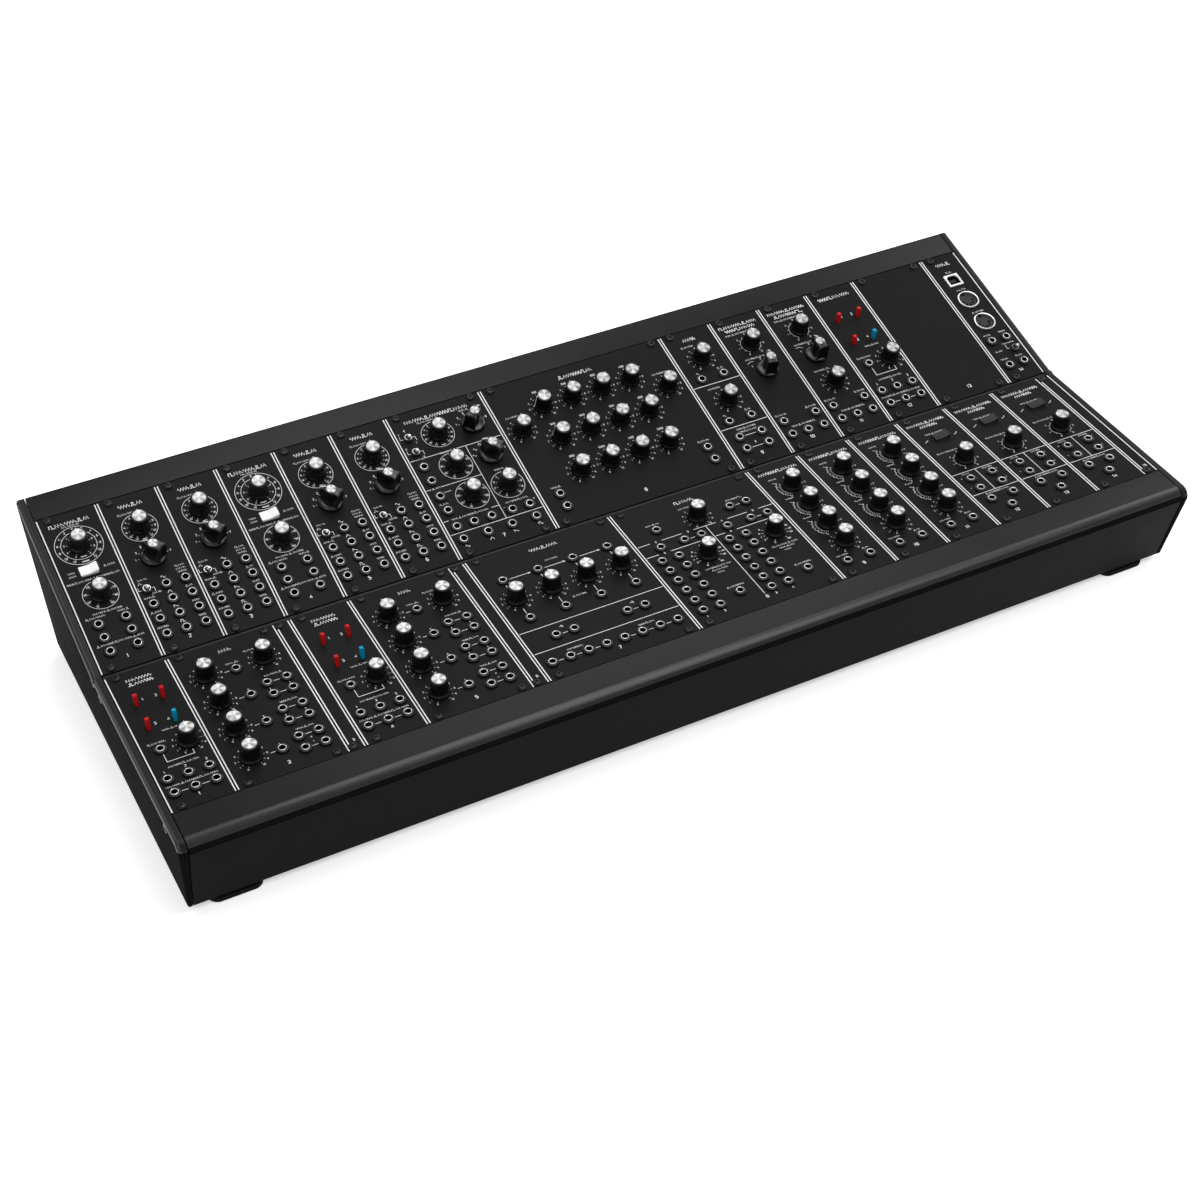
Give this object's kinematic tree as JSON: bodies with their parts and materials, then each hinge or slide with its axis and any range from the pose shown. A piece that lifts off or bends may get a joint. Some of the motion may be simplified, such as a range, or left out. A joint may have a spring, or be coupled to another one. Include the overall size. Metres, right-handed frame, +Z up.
{
  "type": "modular synthesizer",
  "caption": "Desktop modular synthesizer: low black case with end cheeks and a rounded wrist rail, holding level and sloped rows of patch modules with knobs, switches and jack sockets.",
  "frame": {"origin": "on the ground under the middle of the object's outer box", "axes": "+X along the rows to the player's right, +Y from the wrist rail to the rear, +Z up"},
  "size_m": [0.723, 0.3042, 0.1123],
  "materials": {
    "case_shell": "satin",
    "base_sheet": "satin",
    "module_panel": "satin",
    "knob_black": "satin",
    "knob_cap": "polished",
    "rocker_white": "gloss",
    "rocker_grey": "satin",
    "paddle_red": "gloss",
    "paddle_blue": "gloss",
    "toggle_chrome": "polished",
    "jack_metal": "polished",
    "panel_print": "matte",
    "foot_rubber": "matte",
    "circuit_board": "satin",
    "inlet_plastic": "satin"
  },
  "bodies": {
    "root": {"end_cheek_left": "case_shell", "end_cheek_right": "case_shell", "front_rail": "case_shell", "centre_rail": "case_shell", "rear_shell": "case_shell", "base_pan": "base_sheet", "foot_front_left": "foot_rubber", "foot_front_right": "foot_rubber", "foot_rear_left": "foot_rubber", "foot_rear_right": "foot_rubber", "bus_board": "circuit_board", "power_inlet": "inlet_plastic", "module_driver_a": "module_panel", "module_oscillators_a": "module_panel", "module_driver_b": "module_panel", "module_oscillators_b": "module_panel", "module_vco": "module_panel", "module_filter_bank": "module_panel", "module_filters": "module_panel", "module_control_voltages": "module_panel", "module_blank_wide": "module_panel", "module_midi": "module_panel", "module_controller_a": "module_panel", "module_mixer_a": "module_panel", "module_controller_b": "module_panel", "module_mixer_b": "module_panel", "module_attenuators": "module_panel", "module_interface": "module_panel", "module_envelopes": "module_panel", "module_amplifiers": "module_panel"},
    "knob_driver_a_tune": {"knob_driver_a_tune": "knob_black"},
    "rocker_driver_a_octave": {"rocker_driver_a_octave": "rocker_white"},
    "pointer_oscillator_1_range": {"pointer_oscillator_1_range": "knob_black"},
    "toggle_oscillator_1_sync": {"toggle_oscillator_1_sync": "toggle_chrome"},
    "knob_oscillator_2_frequency": {"knob_oscillator_2_frequency": "knob_black"},
    "knob_driver_b_width": {"knob_driver_b_width": "knob_black"},
    "pointer_oscillator_3_range": {"pointer_oscillator_3_range": "knob_black"},
    "knob_oscillator_4_frequency": {"knob_oscillator_4_frequency": "knob_black"},
    "knob_vco_frequency": {"knob_vco_frequency": "knob_black"},
    "pointer_vco_range": {"pointer_vco_range": "knob_black"},
    "knob_filter_bank_low": {"knob_filter_bank_low": "knob_black"},
    "knob_filters_high": {"knob_filters_high": "knob_black"},
    "pointer_highpass_mode": {"pointer_highpass_mode": "knob_black"},
    "knob_lowpass_emphasis": {"knob_lowpass_emphasis": "knob_black"},
    "paddle_voltages_red": {"paddle_voltages_red": "paddle_red"},
    "knob_voltages_level": {"knob_voltages_level": "knob_black"},
    "toggle_midi_mode": {"toggle_midi_mode": "toggle_chrome"},
    "paddle_controller_a_blue": {"paddle_controller_a_blue": "paddle_blue"},
    "knob_controller_a_level": {"knob_controller_a_level": "knob_black"},
    "knob_mixer_a_master": {"knob_mixer_a_master": "knob_black"},
    "paddle_controller_b_red": {"paddle_controller_b_red": "paddle_red"},
    "knob_mixer_b_input": {"knob_mixer_b_input": "knob_black"},
    "knob_attenuator_second": {"knob_attenuator_second": "knob_black"},
    "knob_interface_left": {"knob_interface_left": "knob_black"},
    "knob_envelope_1_attack": {"knob_envelope_1_attack": "knob_black"},
    "knob_envelope_3_release": {"knob_envelope_3_release": "knob_black"},
    "rocker_amplifier_1": {"rocker_amplifier_1": "rocker_grey"},
    "knob_amplifier_2_gain": {"knob_amplifier_2_gain": "knob_black"},
    "rocker_amplifier_3": {"rocker_amplifier_3": "rocker_grey"},
    "power_switch": {"power_switch": "inlet_plastic"}
  },
  "joints": [
    {"name": "driver_a_tune_turn", "type": "hinge", "parent": "root", "child": "knob_driver_a_tune", "pos_m": [-0.3354, 0.10457, 0.09551], "axis": [0, -0.2645, 0.9644], "range_deg": [-150, 150]},
    {"name": "driver_a_octave_tilt", "type": "hinge", "parent": "root", "child": "rocker_driver_a_octave", "pos_m": [-0.336, 0.08412, 0.0899], "axis": [0, 0.9644, 0.2645], "range_deg": [0, 16]},
    {"name": "oscillator_1_range_turn", "type": "hinge", "parent": "root", "child": "pointer_oscillator_1_range", "pos_m": [-0.29476, 0.08007, 0.08879], "axis": [0, -0.2645, 0.9644], "range_deg": [-124, 44]},
    {"name": "oscillator_1_sync_flip", "type": "hinge", "parent": "root", "child": "toggle_oscillator_1_sync", "pos_m": [-0.30766, 0.05728, 0.0842], "axis": [1, 0, 0], "range_deg": [-44, 0]},
    {"name": "oscillator_2_frequency_turn", "type": "hinge", "parent": "root", "child": "knob_oscillator_2_frequency", "pos_m": [-0.25412, 0.10505, 0.09564], "axis": [0, -0.2645, 0.9644], "range_deg": [-150, 150]},
    {"name": "driver_b_width_turn", "type": "hinge", "parent": "root", "child": "knob_driver_b_width", "pos_m": [-0.21348, 0.06503, 0.08466], "axis": [0, -0.2645, 0.9644], "range_deg": [-150, 150]},
    {"name": "oscillator_3_range_turn", "type": "hinge", "parent": "root", "child": "pointer_oscillator_3_range", "pos_m": [-0.17284, 0.08007, 0.08879], "axis": [0, -0.2645, 0.9644], "range_deg": [-124, 44]},
    {"name": "oscillator_4_frequency_turn", "type": "hinge", "parent": "root", "child": "knob_oscillator_4_frequency", "pos_m": [-0.1322, 0.10505, 0.09564], "axis": [0, -0.2645, 0.9644], "range_deg": [-150, 150]},
    {"name": "vco_frequency_turn", "type": "hinge", "parent": "root", "child": "knob_vco_frequency", "pos_m": [-0.08246, 0.10775, 0.09638], "axis": [0, -0.2645, 0.9644], "range_deg": [-150, 150]},
    {"name": "vco_range_turn", "type": "hinge", "parent": "root", "child": "pointer_vco_range", "pos_m": [-0.05626, 0.10727, 0.09625], "axis": [0, -0.2645, 0.9644], "range_deg": [-35, 133]},
    {"name": "filter_bank_low_turn", "type": "hinge", "parent": "root", "child": "knob_filter_bank_low", "pos_m": [-0.02684, 0.09059, 0.09167], "axis": [0, -0.2645, 0.9644], "range_deg": [-150, 150]},
    {"name": "filters_high_turn", "type": "hinge", "parent": "root", "child": "knob_filters_high", "pos_m": [0.1218, 0.10505, 0.09564], "axis": [0, -0.2645, 0.9644], "range_deg": [-150, 150]},
    {"name": "highpass_mode_turn", "type": "hinge", "parent": "root", "child": "pointer_highpass_mode", "pos_m": [0.16244, 0.08027, 0.08884], "axis": [0, -0.2645, 0.9644], "range_deg": [-70, 98]},
    {"name": "lowpass_emphasis_turn", "type": "hinge", "parent": "root", "child": "knob_lowpass_emphasis", "pos_m": [0.20308, 0.05355, 0.08152], "axis": [0, -0.2645, 0.9644], "range_deg": [-150, 150]},
    {"name": "voltages_red_flip", "type": "hinge", "parent": "root", "child": "paddle_voltages_red", "pos_m": [0.25182, 0.10236, 0.09335], "axis": [1, 0, 0], "range_deg": [0, 16]},
    {"name": "voltages_level_turn", "type": "hinge", "parent": "root", "child": "knob_voltages_level", "pos_m": [0.25272, 0.05924, 0.08308], "axis": [0, -0.2645, 0.9644], "range_deg": [-150, 150]},
    {"name": "midi_mode_flip", "type": "hinge", "parent": "root", "child": "toggle_midi_mode", "pos_m": [0.34692, 0.03471, 0.07801], "axis": [1, 0, 0], "range_deg": [-44, 0]},
    {"name": "controller_a_blue_flip", "type": "hinge", "parent": "root", "child": "paddle_controller_a_blue", "pos_m": [-0.3273, -0.049, 0.0675], "axis": [1, 0, 0], "range_deg": [0, 16]},
    {"name": "controller_a_level_turn", "type": "hinge", "parent": "root", "child": "knob_controller_a_level", "pos_m": [-0.3264, -0.0703, 0.069], "axis": [0, 0, 1], "range_deg": [-150, 150]},
    {"name": "mixer_a_master_turn", "type": "hinge", "parent": "root", "child": "knob_mixer_a_master", "pos_m": [-0.26036, -0.0221, 0.069], "axis": [0, 0, 1], "range_deg": [-150, 150]},
    {"name": "controller_b_red_flip", "type": "hinge", "parent": "root", "child": "paddle_controller_b_red", "pos_m": [-0.22228, -0.026, 0.0675], "axis": [1, 0, 0], "range_deg": [0, 16]},
    {"name": "mixer_b_input_turn", "type": "hinge", "parent": "root", "child": "knob_mixer_b_input", "pos_m": [-0.17644, -0.1009, 0.069], "axis": [0, 0, 1], "range_deg": [-150, 150]},
    {"name": "attenuator_second_turn", "type": "hinge", "parent": "root", "child": "knob_attenuator_second", "pos_m": [-0.07146, -0.0439, 0.069], "axis": [0, 0, 1], "range_deg": [-150, 150]},
    {"name": "interface_left_turn", "type": "hinge", "parent": "root", "child": "knob_interface_left", "pos_m": [0.03482, -0.0608, 0.069], "axis": [0, 0, 1], "range_deg": [-150, 150]},
    {"name": "envelope_1_attack_turn", "type": "hinge", "parent": "root", "child": "knob_envelope_1_attack", "pos_m": [0.1218, -0.0229, 0.069], "axis": [0, 0, 1], "range_deg": [-150, 150]},
    {"name": "envelope_3_release_turn", "type": "hinge", "parent": "root", "child": "knob_envelope_3_release", "pos_m": [0.20308, -0.0903, 0.069], "axis": [0, 0, 1], "range_deg": [-150, 150]},
    {"name": "amplifier_1_curve_tilt", "type": "hinge", "parent": "root", "child": "rocker_amplifier_1", "pos_m": [0.24372, -0.0228, 0.069], "axis": [0, 1, 0], "range_deg": [0, 16]},
    {"name": "amplifier_2_gain_turn", "type": "hinge", "parent": "root", "child": "knob_amplifier_2_gain", "pos_m": [0.28436, -0.0519, 0.069], "axis": [0, 0, 1], "range_deg": [-150, 150]},
    {"name": "amplifier_3_curve_tilt", "type": "hinge", "parent": "root", "child": "rocker_amplifier_3", "pos_m": [0.325, -0.0228, 0.069], "axis": [0, 1, 0], "range_deg": [0, 16]},
    {"name": "power_switch_tilt", "type": "hinge", "parent": "root", "child": "power_switch", "pos_m": [0.2464, 0.13187, 0.033], "axis": [1, 0, 0], "range_deg": [-16, 0]}
  ]
}
